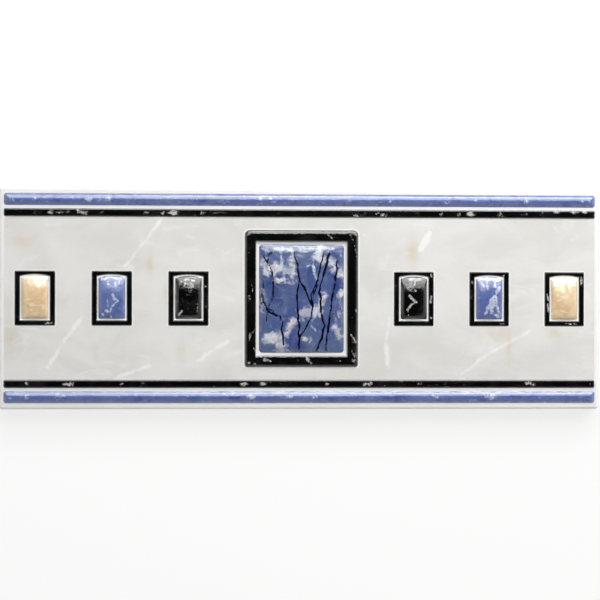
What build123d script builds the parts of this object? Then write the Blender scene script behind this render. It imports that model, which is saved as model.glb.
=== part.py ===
from build123d import *
import os

# Pressed body of the tile, in millimetres, lying on its back with its face up
TILE_LENGTH = 200.0
TILE_WIDTH = 73.7
BODY_THICKNESS = 7.5
CORNER_RADIUS = 1.0
FACE_EDGE_RADIUS = 0.8
BACK_ARRIS = 0.4

# Key pattern pressed into the back for the adhesive
KEY_COLUMNS = 6
KEY_ROWS = 2
KEY_BORDER = 6.0
KEY_RIB = 3.0
KEY_DEPTH = 0.8
KEY_CORNER_RADIUS = 2.0
KEY_DRAFT = 20.0

# Round bead and flat line moulded along each long side
SIDE_MARGIN = 2.15
END_MARGIN = 1.4
BEAD_WIDTH = 3.8
BEAD_HEIGHT = 0.9
BEAD_CORNER_RADIUS = 0.8
BEAD_END_RADIUS = 0.7
LINE_GAP = 1.25
LINE_WIDTH = 2.5
LINE_HEIGHT = 0.4
LINE_CORNER_RADIUS = 0.5
LINE_EDGE_RADIUS = 0.3

# Medallion in the middle: a raised frame round a domed panel
MEDALLION_WIDTH = 37.7
MEDALLION_CLEARANCE = 4.45
MEDALLION_BAR = 3.6
MEDALLION_HEIGHT = 0.8
MEDALLION_TOP_CORNER_RADIUS = 1.6
MEDALLION_LOW_CORNER_RADIUS = 0.8
MEDALLION_INNER_CORNER_RADIUS = 0.4
MEDALLION_OUTER_ROUND = 0.65
MEDALLION_INNER_ROUND = 0.5
PANEL_REVEAL = 1.2
PANEL_CROWN = 1.5
PANEL_SAG_ACROSS = 0.5
PANEL_SAG_ALONG = 0.7
PANEL_CORNER_RADIUS = 1.0
PANEL_EDGE_ROUND = 0.7

# Small framed cabochons with an arched upper side, evenly spaced between the medallion and each end
CABOCHONS_PER_SIDE = 3
CABOCHON_END_GAP = 5.0
SMALL_FRAME_WIDTH = 13.2
SMALL_FRAME_LENGTH = 18.0
SMALL_FRAME_BAR = 1.6
SMALL_FRAME_HEIGHT = 0.3
SMALL_FRAME_ARRIS = 0.15
ARCH_RISE = 0.6
CABOCHON_REVEAL = 0.7
CABOCHON_CROWN = 1.45
CABOCHON_SAG_ACROSS = 0.5
CABOCHON_SAG_ALONG = 0.9
CABOCHON_EDGE_ROUND = 0.45

# Depth to which each raised form is rooted in the body below the face
ROOT = 1.0

# Lengths and places that follow from the sizes above
moulding_length = TILE_LENGTH - 2 * END_MARGIN
bead_offset = TILE_WIDTH / 2 - SIDE_MARGIN - BEAD_WIDTH / 2
line_offset = bead_offset - BEAD_WIDTH / 2 - LINE_GAP - LINE_WIDTH / 2
field_width = 2 * line_offset - LINE_WIDTH
medallion_length = field_width - 2 * MEDALLION_CLEARANCE
panel_inset = 2 * (MEDALLION_BAR + PANEL_REVEAL)
cabochon_inset = 2 * (SMALL_FRAME_BAR + CABOCHON_REVEAL)
cabochon_run = TILE_LENGTH / 2 - CABOCHON_END_GAP - MEDALLION_WIDTH / 2
cabochon_pitch = cabochon_run / CABOCHONS_PER_SIDE
first_cabochon = MEDALLION_WIDTH / 2 + cabochon_pitch - SMALL_FRAME_WIDTH / 2
key_length = (TILE_LENGTH - 2 * KEY_BORDER - (KEY_COLUMNS - 1) * KEY_RIB) / KEY_COLUMNS
key_width = (TILE_WIDTH - 2 * KEY_BORDER - (KEY_ROWS - 1) * KEY_RIB) / KEY_ROWS


def arched_plan(width, length):
    """A rectangle whose upper side is an arch."""
    with BuildSketch() as plan:
        with BuildLine():
            Polyline(
                (-width / 2, length / 2),
                (-width / 2, -length / 2),
                (width / 2, -length / 2),
                (width / 2, length / 2),
            )
            ThreePointArc((width / 2, length / 2), (0, length / 2 + ARCH_RISE), (-width / 2, length / 2))
        make_face()
    return plan.sketch


def domed_pad(plan, crown, sag_across, sag_along, edge_round):
    """A pad whose top bulges both ways: it falls from its crown by each sag to the middle of its sides."""
    width = plan.bounding_box().size.X
    length = plan.bounding_box().size.Y
    cross_radius = (width**2 / 4 + sag_across**2) / (2 * sag_across)
    long_radius = (length**2 / 4 + sag_along**2) / (2 * sag_along)
    with BuildPart() as pad:
        with BuildSketch(Plane.XZ):
            with Locations((0, crown - cross_radius)):
                Circle(cross_radius)
            with Locations((0, -2 * ROOT)):
                Rectangle(
                    width + 2 * ROOT,
                    crown + 3 * ROOT,
                    align=(Align.CENTER, Align.MIN),
                    mode=Mode.INTERSECT,
                )
        revolve(axis=Axis((0, 0, crown - long_radius), (1, 0, 0)))
        with BuildSketch(Plane.XY.offset(-ROOT)):
            add(plan)
        extrude(amount=2 * ROOT + crown, mode=Mode.INTERSECT)
        fillet(pad.faces().sort_by(Axis.Z)[-1].edges(), edge_round)
    return pad.part


# Bead of half-round section, with its ends rounded in plan and in side view
with BuildPart() as bead:
    with BuildSketch(Plane.YZ):
        with BuildLine():
            ThreePointArc((-BEAD_WIDTH / 2, 0), (0, BEAD_HEIGHT), (BEAD_WIDTH / 2, 0))
            Polyline(
                (BEAD_WIDTH / 2, 0),
                (BEAD_WIDTH / 2, -ROOT),
                (-BEAD_WIDTH / 2, -ROOT),
                (-BEAD_WIDTH / 2, 0),
            )
        make_face()
    extrude(amount=moulding_length / 2, both=True)
    with BuildSketch(Plane.XY.offset(-ROOT)):
        RectangleRounded(moulding_length, BEAD_WIDTH, BEAD_CORNER_RADIUS)
    extrude(amount=2 * ROOT + BEAD_HEIGHT, mode=Mode.INTERSECT)
    with BuildSketch(Plane.XZ):
        RectangleRounded(moulding_length, 2 * BEAD_HEIGHT, BEAD_END_RADIUS)
    extrude(amount=BEAD_WIDTH, both=True, mode=Mode.INTERSECT)

# Flat line ridge beside the bead
with BuildPart() as line_ridge:
    with BuildSketch(Plane.XY.offset(-ROOT)):
        RectangleRounded(moulding_length, LINE_WIDTH, LINE_CORNER_RADIUS)
    extrude(amount=ROOT + LINE_HEIGHT)
    fillet(line_ridge.faces().sort_by(Axis.Z)[-1].edges(), LINE_EDGE_RADIUS)

# Frame of the medallion, with its top edges rounded
with BuildPart() as medallion_frame:
    with BuildSketch(Plane.XY.offset(-ROOT)) as medallion_plan:
        Rectangle(MEDALLION_WIDTH, medallion_length)
        fillet(medallion_plan.vertices().group_by(Axis.Y)[-1], MEDALLION_TOP_CORNER_RADIUS)
        fillet(medallion_plan.vertices().group_by(Axis.Y)[0], MEDALLION_LOW_CORNER_RADIUS)
        RectangleRounded(
            MEDALLION_WIDTH - 2 * MEDALLION_BAR,
            medallion_length - 2 * MEDALLION_BAR,
            MEDALLION_INNER_CORNER_RADIUS,
            mode=Mode.SUBTRACT,
        )
    extrude(amount=ROOT + MEDALLION_HEIGHT)
    outer_edges = medallion_frame.faces().sort_by(Axis.Z)[-1].outer_wire().edges()
    fillet(outer_edges, MEDALLION_OUTER_ROUND)
    inner_edges = medallion_frame.faces().sort_by(Axis.Z)[-1].inner_wires()[0].edges()
    fillet(inner_edges, MEDALLION_INNER_ROUND)

# Domed panel inside it
with BuildSketch() as panel_plan:
    RectangleRounded(MEDALLION_WIDTH - panel_inset, medallion_length - panel_inset, PANEL_CORNER_RADIUS)
medallion_panel = domed_pad(
    panel_plan.sketch,
    PANEL_CROWN,
    PANEL_SAG_ACROSS,
    PANEL_SAG_ALONG,
    PANEL_EDGE_ROUND,
)

# Low frame of a cabochon, with an arris along its top edges
with BuildPart() as small_frame:
    with BuildSketch(Plane.XY.offset(-ROOT)):
        Rectangle(SMALL_FRAME_WIDTH, SMALL_FRAME_LENGTH)
        add(
            arched_plan(
                SMALL_FRAME_WIDTH - 2 * SMALL_FRAME_BAR,
                SMALL_FRAME_LENGTH - 2 * SMALL_FRAME_BAR,
            ),
            mode=Mode.SUBTRACT,
        )
    extrude(amount=ROOT + SMALL_FRAME_HEIGHT)
    chamfer(small_frame.faces().sort_by(Axis.Z)[-1].edges(), SMALL_FRAME_ARRIS)

# Cabochon inside it
cabochon = domed_pad(
    arched_plan(SMALL_FRAME_WIDTH - cabochon_inset, SMALL_FRAME_LENGTH - cabochon_inset),
    CABOCHON_CROWN,
    CABOCHON_SAG_ACROSS,
    CABOCHON_SAG_ALONG,
    CABOCHON_EDGE_ROUND,
)

# The tile, pressed and fired as one piece
with BuildPart() as border_tile:
    with BuildSketch():
        RectangleRounded(TILE_LENGTH, TILE_WIDTH, CORNER_RADIUS)
    extrude(amount=BODY_THICKNESS)
    fillet(border_tile.faces().sort_by(Axis.Z)[-1].edges(), FACE_EDGE_RADIUS)
    chamfer(border_tile.faces().sort_by(Axis.Z)[0].edges(), BACK_ARRIS)

    # Keys in the back, with drafted walls
    with BuildSketch():
        with GridLocations(key_length + KEY_RIB, key_width + KEY_RIB, KEY_COLUMNS, KEY_ROWS):
            RectangleRounded(key_length, key_width, KEY_CORNER_RADIUS)
    extrude(amount=KEY_DEPTH, taper=KEY_DRAFT, mode=Mode.SUBTRACT)

    # Mouldings along the two long sides
    for side in (-1, 1):
        with Locations((0, side * bead_offset, BODY_THICKNESS)):
            add(bead.part)
        with Locations((0, side * line_offset, BODY_THICKNESS)):
            add(line_ridge.part)

    # Medallion in the middle of the face
    with Locations((0, 0, BODY_THICKNESS)):
        add(medallion_frame.part)
        add(medallion_panel)

    # Framed cabochons on either side of it
    for side in (-1, 1):
        for step in range(CABOCHONS_PER_SIDE):
            with Locations((side * (first_cabochon + step * cabochon_pitch), 0, BODY_THICKNESS)):
                add(small_frame.part)
                add(cabochon)

os.makedirs("parts", exist_ok=True)
border_tile.part.label = "border_tile"
export_step(border_tile.part, "parts/border_tile.step")
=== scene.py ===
"""Looks of a glazed ceramic border tile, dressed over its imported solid.

The tile is one closed mesh: the sides, the keyed back and the face with its beads, lines,
medallion and cabochons. Sizes are in millimetres until the mesh is written in metres.
"""

from __future__ import annotations

import logging
import math
from dataclasses import dataclass, field, replace
from enum import Enum
from typing import Callable, ClassVar

import bpy
import numpy as np
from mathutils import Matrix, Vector
from mathutils.geometry import delaunay_2d_cdt


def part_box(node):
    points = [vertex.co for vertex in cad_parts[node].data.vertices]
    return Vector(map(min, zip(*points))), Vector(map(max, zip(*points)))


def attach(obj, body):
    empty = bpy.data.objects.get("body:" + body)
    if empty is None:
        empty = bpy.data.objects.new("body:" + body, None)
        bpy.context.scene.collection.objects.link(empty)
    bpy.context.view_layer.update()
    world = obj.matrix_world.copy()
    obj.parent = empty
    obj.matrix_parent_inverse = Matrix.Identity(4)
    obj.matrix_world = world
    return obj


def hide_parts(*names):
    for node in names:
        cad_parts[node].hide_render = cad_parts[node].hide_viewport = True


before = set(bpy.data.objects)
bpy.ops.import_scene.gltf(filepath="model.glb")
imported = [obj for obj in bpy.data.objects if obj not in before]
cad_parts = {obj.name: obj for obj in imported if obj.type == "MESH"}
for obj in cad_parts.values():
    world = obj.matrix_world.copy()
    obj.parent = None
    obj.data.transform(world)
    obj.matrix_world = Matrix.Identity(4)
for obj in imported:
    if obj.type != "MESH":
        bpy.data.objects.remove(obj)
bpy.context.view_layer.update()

NODE = "border_tile"
BODY = "root"
MM = 0.001
TILE_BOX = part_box(NODE)
TILE_LENGTH = (TILE_BOX[1].x - TILE_BOX[0].x) / MM
TILE_WIDTH = (TILE_BOX[1].y - TILE_BOX[0].y) / MM
TILE_HEIGHT = (TILE_BOX[1].z - TILE_BOX[0].z) / MM

log = logging.getLogger("border_tile")

Point2 = tuple[float, float]
Point3 = tuple[float, float, float]
Color = tuple[float, float, float, float]
Heights = Callable[[np.ndarray], np.ndarray]


class Glaze(Enum):
    """Finish of a patch of the tile; the value is its material slot on the mesh."""

    WHITE = 0
    FIELD = 1
    COBALT = 2
    BLACK = 3
    CREAM = 4
    PANEL = 5
    BISQUE = 6


class Zone(Enum):
    """Side of the tile that a face lies on, which sets where its texture is laid out."""

    FACE = 0
    BACK = 1
    FRONT_SIDE = 2
    REAR_SIDE = 3
    LEFT_END = 4
    RIGHT_END = 5


def linear(red: int, green: int, blue: int) -> Color:
    """Turn a display colour into the linear one that a shader takes.

    Args:
        red: red of the display colour, 0 to 255.
        green: green of the display colour, 0 to 255.
        blue: blue of the display colour, 0 to 255.

    Returns:
        The linear colour with full alpha.
    """
    knee, offset, slope, power = 0.04045, 0.055, 12.92, 2.4
    shares = [value / 255 for value in (red, green, blue)]
    parts = [s / slope if s <= knee else ((s + offset) / (1 + offset)) ** power for s in shares]
    return (parts[0], parts[1], parts[2], 1.0)


@dataclass(frozen=True)
class Outline:
    """A rounded rectangle on the face, cut into a fixed number of points."""

    width: float
    length: float
    radius: float
    across: int
    along: int
    corner: int = 4
    center: Point2 = (0.0, 0.0)
    top_radius: float | None = None
    least_side: ClassVar[float] = 1e-4
    least_round: ClassVar[float] = 0.02

    @property
    def columns(self) -> int:
        """Segments along each of the two sides that run in X."""
        return self.across + 2 * self.corner

    @property
    def rows(self) -> int:
        """Segments along each of the two sides that run in Y."""
        return self.along + 2 * self.corner

    def half_sides(self, inset: float) -> Point2:
        """Half width and half length of the outline moved inwards by inset."""
        sides = [max(side / 2 - inset, self.least_side) for side in (self.width, self.length)]
        return sides[0], sides[1]

    def corner_radius(self, top: bool, inset: float, growth: float = -1.0) -> float:
        """Radius of the upper or the lower corners of the outline moved inwards.

        Args:
            top: True for the upper corners.
            inset: distance to move inwards, negative to move outwards.
            growth: how fast the radius grows with the inset.

        Returns:
            The radius.
        """
        radius = self.top_radius if top and self.top_radius is not None else self.radius
        smallest = min(self.half_sides(inset))
        return min(max(radius + growth * inset, self.least_round * smallest), smallest)

    def ring(self, inset: float = 0.0, arch: float = 0.0, growth: float = -1.0) -> np.ndarray:
        """Points of the outline, counter-clockwise from the middle of its lower left corner.

        Args:
            inset: distance to move the outline inwards.
            arch: rise of the upper side at its middle.
            growth: how fast the corners' radius grows with the inset.

        Returns:
            One row of X and Y for each point.
        """
        half_width, half_length = self.half_sides(inset)
        low, top = (self.corner_radius(upper, inset, growth) for upper in (False, True))
        corners = (
            (-half_width + low, -half_length + low, low, math.pi),
            (half_width - low, -half_length + low, low, 1.5 * math.pi),
            (half_width - top, half_length - top, top, 0.0),
            (-half_width + top, half_length - top, top, 0.5 * math.pi),
        )
        quarter = math.pi / 4
        points: list[Point2] = []

        def turn_round(x: float, y: float, radius: float, start: float) -> None:
            """Add half of a corner's points."""
            for step in range(self.corner):
                turn = start + quarter * step / self.corner
                points.append((x + radius * math.cos(turn), y + radius * math.sin(turn)))

        for place, (x, y, radius, start) in enumerate(corners):
            next_x, next_y, next_radius, _ = corners[(place + 1) % 4]
            turn_round(x, y, radius, start + quarter)
            leave = start + 2 * quarter
            outwards = np.array((math.cos(leave), math.sin(leave)))
            first = np.array((x, y)) + radius * outwards
            last = np.array((next_x, next_y)) + next_radius * outwards
            count = self.along if place % 2 else self.across
            points.extend(tuple(first + step / count * (last - first)) for step in range(count))
            turn_round(next_x, next_y, next_radius, leave)
        flat = np.array(points)
        lift = np.clip(flat[:, 1] / half_length, 0, 1) * (1 - (flat[:, 0] / half_width) ** 2)
        flat[:, 1] += arch * lift
        return flat + np.array(self.center)

    def holds(self, x: float, y: float, inset: float = 0.0) -> bool:
        """Say whether a point lies inside the outline.

        Args:
            x: X of the point.
            y: Y of the point.
            inset: distance to move the outline inwards first.

        Returns:
            True if the point is inside.
        """
        half_width, half_length = self.half_sides(inset)
        radius = self.corner_radius(y > self.center[1], inset)
        over_x = max(abs(x - self.center[0]) - half_width + radius, 0.0)
        over_y = max(abs(y - self.center[1]) - half_length + radius, 0.0)
        return math.hypot(over_x, over_y) < radius


@dataclass(frozen=True)
class Step:
    """One ring of a form's section: how far in, how high, and the finish that leads up to it.

    The height of a domed ring is a share of the dome's height above it.
    """

    inset: float
    height: float
    glaze: Glaze
    domed: bool = False
    arch: float = 0.0
    growth: float = -1.0


@dataclass
class Surface:
    """Points and faces of the tile as they are gathered, in millimetres."""

    points: list[Point3] = field(default_factory=list)
    faces: list[tuple[int, ...]] = field(default_factory=list)
    glazes: list[Glaze] = field(default_factory=list)
    zones: list[Zone] = field(default_factory=list)
    merge_distance: ClassVar[float] = 1e-7

    def add_ring(self, flat: np.ndarray, heights: np.ndarray) -> list[int]:
        """Add a closed ring of points.

        Args:
            flat: X and Y of each point.
            heights: Z of each point.

        Returns:
            The new points' numbers.
        """
        first = len(self.points)
        self.points.extend((float(x), float(y), float(z)) for (x, y), z in zip(flat, heights))
        return list(range(first, len(self.points)))

    def add_face(self, corners: tuple[int, ...], glaze: Glaze, zone: Zone) -> None:
        """Add one face with its finish and its side of the tile."""
        self.faces.append(corners)
        self.glazes.append(glaze)
        self.zones.append(zone)

    def bridge(self, lower: list[int], upper: list[int], glaze: Glaze,
               zone: Zone | Callable[[int], Zone] = Zone.FACE) -> None:
        """Join two rings by a band of quads that faces outwards and up.

        Args:
            lower: the outer or lower ring.
            upper: the inner or upper ring.
            glaze: finish of the band.
            zone: side of the tile that the band lies on, or a function that gives it for a quad.
        """
        count = len(lower)
        for here in range(count):
            after = (here + 1) % count
            quad = (lower[here], lower[after], upper[after], upper[here])
            self.add_face(quad, glaze, zone if isinstance(zone, Zone) else zone(here))

    def cap(self, outline: Outline, ring: list[int], height: Heights, glaze: Glaze,
            zone: Zone = Zone.FACE, upward: bool = True) -> None:
        """Close a ring with a grid of quads blended between its four sides.

        Args:
            outline: the outline that the ring was cut from.
            ring: the ring's point numbers.
            height: gives Z for rows of X and Y.
            glaze: finish of the grid.
            zone: side of the tile that the grid lies on.
            upward: True if the grid faces up.
        """
        columns, rows = outline.columns, outline.rows
        flat = np.array([self.points[n][:2] for n in ring])
        bottom = flat[: columns + 1]
        right = flat[columns: columns + rows + 1]
        top = flat[columns + rows: 2 * columns + rows + 1][::-1]
        left = np.vstack([flat[2 * columns + rows:], flat[:1]])[::-1]
        u = ((bottom[:, 0] - bottom[0, 0]) / (bottom[-1, 0] - bottom[0, 0]))[:, None, None]
        v = ((left[:, 1] - left[0, 1]) / (left[-1, 1] - left[0, 1]))[None, :, None]
        blend = (1 - v) * bottom[:, None] + v * top[:, None]
        blend = blend + (1 - u) * left[None] + u * right[None]
        blend -= ((1 - u) * ((1 - v) * bottom[0] + v * top[0])
                  + u * ((1 - v) * bottom[-1] + v * top[-1]))
        grid = np.full((columns + 1, rows + 1), -1)
        grid[:, 0] = ring[: columns + 1]
        grid[columns, :] = ring[columns: columns + rows + 1]
        grid[:, rows] = ring[columns + rows: 2 * columns + rows + 1][::-1]
        grid[0, :] = [*ring[2 * columns + rows:], ring[0]][::-1]
        inner = blend[1:columns, 1:rows].reshape(-1, 2)
        numbers = self.add_ring(inner, height(inner))
        grid[1:columns, 1:rows] = np.array(numbers).reshape(columns - 1, rows - 1)
        for i in range(columns):
            for j in range(rows):
                corners = (grid[i, j], grid[i + 1, j], grid[i + 1, j + 1], grid[i, j + 1])
                quad = tuple(int(corner) for corner in corners)
                self.add_face(quad if upward else quad[::-1], glaze, zone)

    def fill(self, rings: list[list[int]], holes: list[Outline], extra: np.ndarray, level: float,
             glaze_at: Callable[[float, float], Glaze], zone: Zone, upward: bool) -> None:
        """Fill the flat between an outer ring and the holes in it.

        Args:
            rings: the outer ring, then each hole's ring.
            holes: outlines of the holes, which stay open.
            extra: X and Y of further points to use inside.
            level: Z of the flat.
            glaze_at: finish at a given X and Y.
            zone: side of the tile that the flat lies on.
            upward: True if the flat faces up.
        """
        numbers = [n for ring in rings for n in ring]
        edges: list[tuple[int, int]] = []
        for ring in rings:
            start = len(edges)
            edges.extend((start + k, start + (k + 1) % len(ring)) for k in range(len(ring)))
        numbers += self.add_ring(extra, np.full(len(extra), level))
        flat = [Vector(self.points[n][:2]) for n in numbers]
        cells = delaunay_2d_cdt(flat, edges, [], 0, self.merge_distance, True)
        found, _, triangles, sources, _, _ = cells
        for triangle in triangles:
            x, y = np.mean([found[k] for k in triangle], axis=0)
            if any(hole.holds(x, y) for hole in holes):
                continue
            corners = tuple(numbers[sources[k][0]] for k in triangle)
            self.add_face(corners if upward else corners[::-1], glaze_at(x, y), zone)


def arc_steps(run: float, rise: float, steps: int) -> list[Point2]:
    """Pairs of inset and rise round a shoulder, from (0, 0) at a wall to a level top."""
    turns = [0.5 * math.pi * k / steps for k in range(steps + 1)]
    return [(run * (1 - math.cos(turn)), rise * math.sin(turn)) for turn in turns]


@dataclass(frozen=True)
class Relief:
    """Sizes that all the raised forms of the face share."""

    level: float = 7.5
    foot: float = 0.1
    draft: float = 0.1
    steps: int = 6

    def foot_steps(self, inset: float, glaze: Glaze, before: Glaze) -> list[Step]:
        """Rings up a wall's sloping foot; before is the finish of the flat that it rises from."""
        return [Step(inset - self.foot, 0.0, before), Step(inset, self.foot, glaze)]

    def raise_form(self, surface: Surface, outline: Outline, section: list[Step],
                   dome: Heights) -> tuple[list[int], list[int]]:
        """Build a form's rings from the outside in.

        Args:
            surface: the tile's surface.
            outline: the form's outline.
            section: its rings, outermost first.
            dome: height of the domed top at rows of X and Y, of which domed rings reach a share.

        Returns:
            The first ring and the last.
        """
        rings: list[list[int]] = []
        for step in section:
            flat = outline.ring(step.inset, step.arch, step.growth)
            heights = np.full(len(flat), step.height)
            if step.domed:
                heights = self.foot + step.height * (dome(flat) - self.foot)
            rings.append(surface.add_ring(flat, self.level + heights))
            if len(rings) > 1:
                surface.bridge(rings[-2], rings[-1], step.glaze)
        return rings[0], rings[-1]


@dataclass(frozen=True)
class Moulding:
    """A raised strip along a long side, with a level crown."""

    relief: Relief
    place: float
    width: float
    height: float
    corner_radius: float
    glaze: Glaze
    end_margin: float = 1.4

    def shoulder(self) -> list[Step]:
        """Rings from the foot to the crown."""
        raise NotImplementedError

    def build(self, surface: Surface) -> tuple[Outline, list[int]]:
        """Add the strip to the tile.

        Args:
            surface: the tile's surface.

        Returns:
            The hole that it leaves in the face and the ring around it.
        """
        length = TILE_LENGTH - 2 * self.end_margin
        outline = Outline(length, self.width, self.corner_radius, across=230, along=2, corner=3,
                          center=(0.0, self.place))
        section = [*self.relief.foot_steps(0.0, self.glaze, Glaze.WHITE), *self.shoulder()]
        first, last = self.relief.raise_form(surface, outline, section, no_dome)
        top = self.relief.level + section[-1].height
        surface.cap(outline, last, lambda flat: np.full(len(flat), top), self.glaze)
        return grown(outline, self.relief.foot), first


@dataclass(frozen=True)
class Bead(Moulding):
    """The blue half-round moulding along a long side."""

    width: float = 3.8
    height: float = 0.9
    corner_radius: float = 0.8
    glaze: Glaze = Glaze.COBALT
    rings: int = 8
    crown_gap: float = 0.4

    def shoulder(self) -> list[Step]:
        """Rings up the round side, to a small share of a ring before the crown.

        Returns:
            The rings, outermost first.
        """
        radius = (self.width**2 / 4 + self.height**2) / (2 * self.height)
        steps: list[Step] = []
        for ring in range(1, self.rings + 1):
            share = 1 - ring / (self.rings + self.crown_gap)
            lean = math.asin(self.width / 2 / radius) * share
            inset = self.width / 2 - radius * math.sin(lean)
            steps.append(Step(inset, self.height - radius * (1 - math.cos(lean)), self.glaze))
        return steps


@dataclass(frozen=True)
class LineRidge(Moulding):
    """The low black line inside a bead."""

    width: float = 2.5
    height: float = 0.4
    corner_radius: float = 0.5
    glaze: Glaze = Glaze.BLACK
    edge_radius: float = 0.28

    def shoulder(self) -> list[Step]:
        """Rings over the rounded edge.

        Returns:
            The rings, outermost first.
        """
        start, wall = self.relief.draft / 2, self.height - self.edge_radius
        arc = arc_steps(self.edge_radius, self.edge_radius, self.relief.steps)
        return [Step(start + inset, wall + rise, self.glaze) for inset, rise in arc]


@dataclass(frozen=True)
class FramedPad:
    """A raised black frame, a white reveal and a domed pad inside it."""

    relief: Relief
    outline: Outline
    pad_glaze: Glaze
    halo: float
    bar: float
    frame_height: float
    outer_round: Point2
    inner_round: Point2
    reveal: float
    pad_corner: float
    crown: float
    sag_across: float
    sag_along: float
    shoulder: float
    flat_rings: int
    arch: float = 0.0
    pillow: float = 0.8

    def dome(self, flat: np.ndarray) -> np.ndarray:
        """Height of the pad's bulged top above the face.

        Args:
            flat: rows of X and Y.

        Returns:
            One height for each row.
        """
        inset = self.bar + self.reveal
        half_width, half_length = self.outline.half_sides(inset)
        halves = np.array([half_width, half_length + self.arch / 2])
        share = (flat - np.array(self.outline.center)) / halves
        height = self.crown - share**2 @ np.array([self.sag_across, self.sag_along])
        return np.maximum(height, 2 * self.relief.foot)

    def frame_section(self) -> list[Step]:
        """Rings over the frame's bar, from the white line round it to the reveal.

        Returns:
            The rings, outermost first.
        """
        relief = self.relief
        section = [Step(-self.halo - relief.foot, 0.0, Glaze.WHITE)]
        section += relief.foot_steps(0.0, Glaze.BLACK, Glaze.WHITE)
        for inset, rise in arc_steps(*self.outer_round, relief.steps):
            height = self.frame_height - self.outer_round[1] + rise
            section.append(Step(relief.draft / 2 + inset, height, Glaze.BLACK, growth=self.pillow))
        start = relief.draft / 2 + self.outer_round[0]
        end = self.bar - relief.draft / 2 - self.inner_round[0]
        for ring in range(1, self.flat_rings + 1):
            share = ring / (self.flat_rings + 1)
            inset = start + share * (end - start)
            growth = self.pillow - share * (1 + self.pillow)
            section.append(Step(inset, self.frame_height, Glaze.BLACK, arch=share * self.arch,
                                growth=growth))
        for inset, rise in reversed(arc_steps(*self.inner_round, relief.steps // 2)):
            height = self.frame_height - self.inner_round[1] + rise
            inset = self.bar - relief.draft / 2 - inset
            section.append(Step(inset, height, Glaze.BLACK, arch=self.arch))
        for step in reversed(relief.foot_steps(0.0, Glaze.BLACK, Glaze.BLACK)):
            section.append(Step(self.bar - step.inset, step.height, Glaze.BLACK, arch=self.arch))
        return section

    def pad_section(self) -> list[Step]:
        """Rings from the reveal up over the pad's shoulder.

        Returns:
            The rings, outermost first.
        """
        relief = self.relief
        inset = self.bar + self.reveal
        section = relief.foot_steps(inset, self.pad_glaze, Glaze.WHITE)
        for more, share in arc_steps(self.shoulder, 1.0, relief.steps)[1:]:
            section.append(Step(inset + more, share, self.pad_glaze, domed=True,
                                growth=self.pillow))
        return [replace(step, inset=step.inset - inset, arch=self.arch) for step in section]

    def build(self, surface: Surface) -> tuple[Outline, list[int]]:
        """Add the frame and its pad to the tile.

        Args:
            surface: the tile's surface.

        Returns:
            The hole that they leave in the face and the ring around it.
        """
        outline = self.outline
        first, reveal = self.relief.raise_form(surface, outline, self.frame_section(), no_dome)
        inset = self.bar + self.reveal
        pad = replace(outline, width=outline.width - 2 * inset, length=outline.length - 2 * inset,
                      radius=self.pad_corner, top_radius=None)
        foot, edge = self.relief.raise_form(surface, pad, self.pad_section(), self.dome)
        surface.bridge(reveal, foot, Glaze.WHITE)
        level = self.relief.level
        surface.cap(pad, edge, lambda flat: level + self.dome(flat), self.pad_glaze)
        return grown(outline, self.halo + self.relief.foot), first


def no_dome(flat: np.ndarray) -> np.ndarray:
    """No rise, for a form with a level top."""
    return np.zeros(len(flat))


def grown(outline: Outline, by: float) -> Outline:
    """The outline moved outwards on all sides.

    Args:
        outline: the outline.
        by: distance to move it.

    Returns:
        The larger outline.
    """
    top_radius = None if outline.top_radius is None else outline.top_radius + by
    return replace(
        outline,
        width=outline.width + 2 * by,
        length=outline.length + 2 * by,
        radius=outline.radius + by,
        top_radius=top_radius,
    )


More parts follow.
